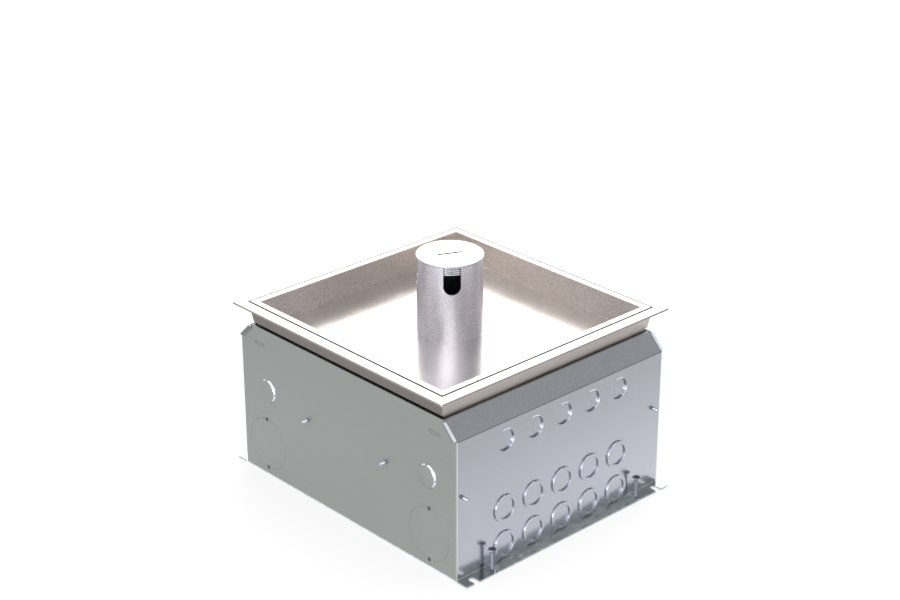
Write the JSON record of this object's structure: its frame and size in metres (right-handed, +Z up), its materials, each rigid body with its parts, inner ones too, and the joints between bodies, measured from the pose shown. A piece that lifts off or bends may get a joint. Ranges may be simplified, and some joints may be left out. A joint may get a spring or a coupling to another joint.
{
  "type": "floor socket box",
  "caption": "Screed-level floor socket box with shouldered knockout walls, a recessed lid tray and a raised cable outlet tube with a screw cap.",
  "frame": {"origin": "middle of the housing on the underside of its base plate", "axes": "+Z up out of the floor, X across the two shouldered knockout walls, Y across the two plain end plates"},
  "size_m": [0.3144, 0.278, 0.2215],
  "materials": {
    "galvanised_sheet": "matt hot-dip galvanised sheet",
    "satin_stainless": "satin ground stainless steel",
    "zinc_fasteners": "bright blue-passivated zinc plate",
    "cast_aluminium": "die cast",
    "black_rubber": "matt",
    "dark_plastic": "fine textured moulding",
    "light_plastic": "fine textured moulding",
    "brass": "drawn bar"
  },
  "bodies": {
    "housing": {"base_plate": "galvanised_sheet", "side_wall_right": "galvanised_sheet", "side_wall_left": "galvanised_sheet", "end_plate_front": "galvanised_sheet", "end_plate_rear": "galvanised_sheet", "socket_carrier": "galvanised_sheet", "data_carrier": "galvanised_sheet", "cable_rail_right": "galvanised_sheet", "cable_rail_left": "galvanised_sheet", "corner_shelf_front_right": "galvanised_sheet", "corner_shelf_front_left": "galvanised_sheet", "corner_shelf_rear_right": "galvanised_sheet", "corner_shelf_rear_left": "galvanised_sheet", "wall_studs": "zinc_fasteners", "end_studs": "zinc_fasteners", "cable_clamps": "dark_plastic", "terminal_block": "light_plastic", "earth_terminal": "brass", "socket_insert_1": "dark_plastic", "socket_insert_2": "dark_plastic", "socket_insert_3": "dark_plastic", "data_module_1": "light_plastic", "data_module_2": "light_plastic", "data_module_3": "light_plastic"},
    "levelling_screw_front_right": {"levelling_screw_front_right": "zinc_fasteners"},
    "levelling_screw_front_left": {"levelling_screw_front_left": "zinc_fasteners"},
    "levelling_screw_rear_right": {"levelling_screw_rear_right": "zinc_fasteners"},
    "levelling_screw_rear_left": {"levelling_screw_rear_left": "zinc_fasteners"},
    "frame": {"frame_flange": "satin_stainless", "frame_skirt": "satin_stainless", "frame_ledge": "satin_stainless", "frame_gasket": "black_rubber", "frame_bracket_front_right": "satin_stainless", "frame_bracket_front_left": "satin_stainless", "frame_bracket_rear_right": "satin_stainless", "frame_bracket_rear_left": "satin_stainless"},
    "jack_screw_front_right": {"jack_screw_front_right": "zinc_fasteners"},
    "jack_screw_front_left": {"jack_screw_front_left": "zinc_fasteners"},
    "jack_screw_rear_right": {"jack_screw_rear_right": "zinc_fasteners"},
    "jack_screw_rear_left": {"jack_screw_rear_left": "zinc_fasteners"},
    "tray": {"lid_tray": "satin_stainless", "tray_stiffener_front": "satin_stainless", "tray_stiffener_rear": "satin_stainless", "guide_collar": "cast_aluminium"},
    "tube": {"outlet_tube": "satin_stainless"},
    "cap_seal": {"cap_seal": "black_rubber"},
    "cap": {"screw_cap": "satin_stainless"}
  },
  "joints": [
    {"name": "level_front_right", "type": "slide", "parent": "housing", "child": "levelling_screw_front_right", "axis": [0, 0, 1], "range_m": [-0.015, 0]},
    {"name": "level_front_left", "type": "slide", "parent": "housing", "child": "levelling_screw_front_left", "axis": [0, 0, 1], "range_m": [-0.015, 0]},
    {"name": "level_rear_right", "type": "slide", "parent": "housing", "child": "levelling_screw_rear_right", "axis": [0, 0, 1], "range_m": [-0.015, 0]},
    {"name": "level_rear_left", "type": "slide", "parent": "housing", "child": "levelling_screw_rear_left", "axis": [0, 0, 1], "range_m": [-0.015, 0]},
    {"name": "frame_level", "type": "slide", "parent": "housing", "child": "frame", "axis": [0, 0, 1], "range_m": [0, 0.02]},
    {"name": "jack_turn_front_right", "type": "hinge", "parent": "frame", "child": "jack_screw_front_right", "pos_m": [0.112, -0.112, 0.134], "axis": [0, 0, 1], "range_deg": [0, 7200.5]},
    {"name": "jack_turn_front_left", "type": "hinge", "parent": "frame", "child": "jack_screw_front_left", "pos_m": [-0.112, -0.112, 0.134], "axis": [0, 0, 1], "range_deg": [0, 7200.5]},
    {"name": "jack_turn_rear_right", "type": "hinge", "parent": "frame", "child": "jack_screw_rear_right", "pos_m": [0.112, 0.112, 0.134], "axis": [0, 0, 1], "range_deg": [0, 7200.5]},
    {"name": "jack_turn_rear_left", "type": "hinge", "parent": "frame", "child": "jack_screw_rear_left", "pos_m": [-0.112, 0.112, 0.134], "axis": [0, 0, 1], "range_deg": [0, 7200.5]},
    {"name": "tray_lift", "type": "slide", "parent": "frame", "child": "tray", "axis": [0, 0, 1], "range_m": [0, 0.06]},
    {"name": "tube_slide", "type": "slide", "parent": "tray", "child": "tube", "axis": [0, 0, 1], "range_m": [-0.05, 0]},
    {"name": "cap_rise", "type": "slide", "parent": "tube", "child": "cap_seal", "axis": [0, 0, 1], "range_m": [0, 0.008]},
    {"name": "cap_turn", "type": "hinge", "parent": "cap_seal", "child": "cap", "pos_m": [0, 0, 0.215], "axis": [0, 0, 1], "range_deg": [0, 1440]}
  ],
  "couplings": [
    {"joint": "jack_turn_front_right", "follows": "frame_level", "rad_per_m": 6283.2},
    {"joint": "jack_turn_front_left", "follows": "frame_level", "rad_per_m": 6283.2},
    {"joint": "jack_turn_rear_right", "follows": "frame_level", "rad_per_m": 6283.2},
    {"joint": "jack_turn_rear_left", "follows": "frame_level", "rad_per_m": 6283.2},
    {"joint": "cap_rise", "follows": "cap_turn", "m_per_rad": 0.0003183}
  ]
}
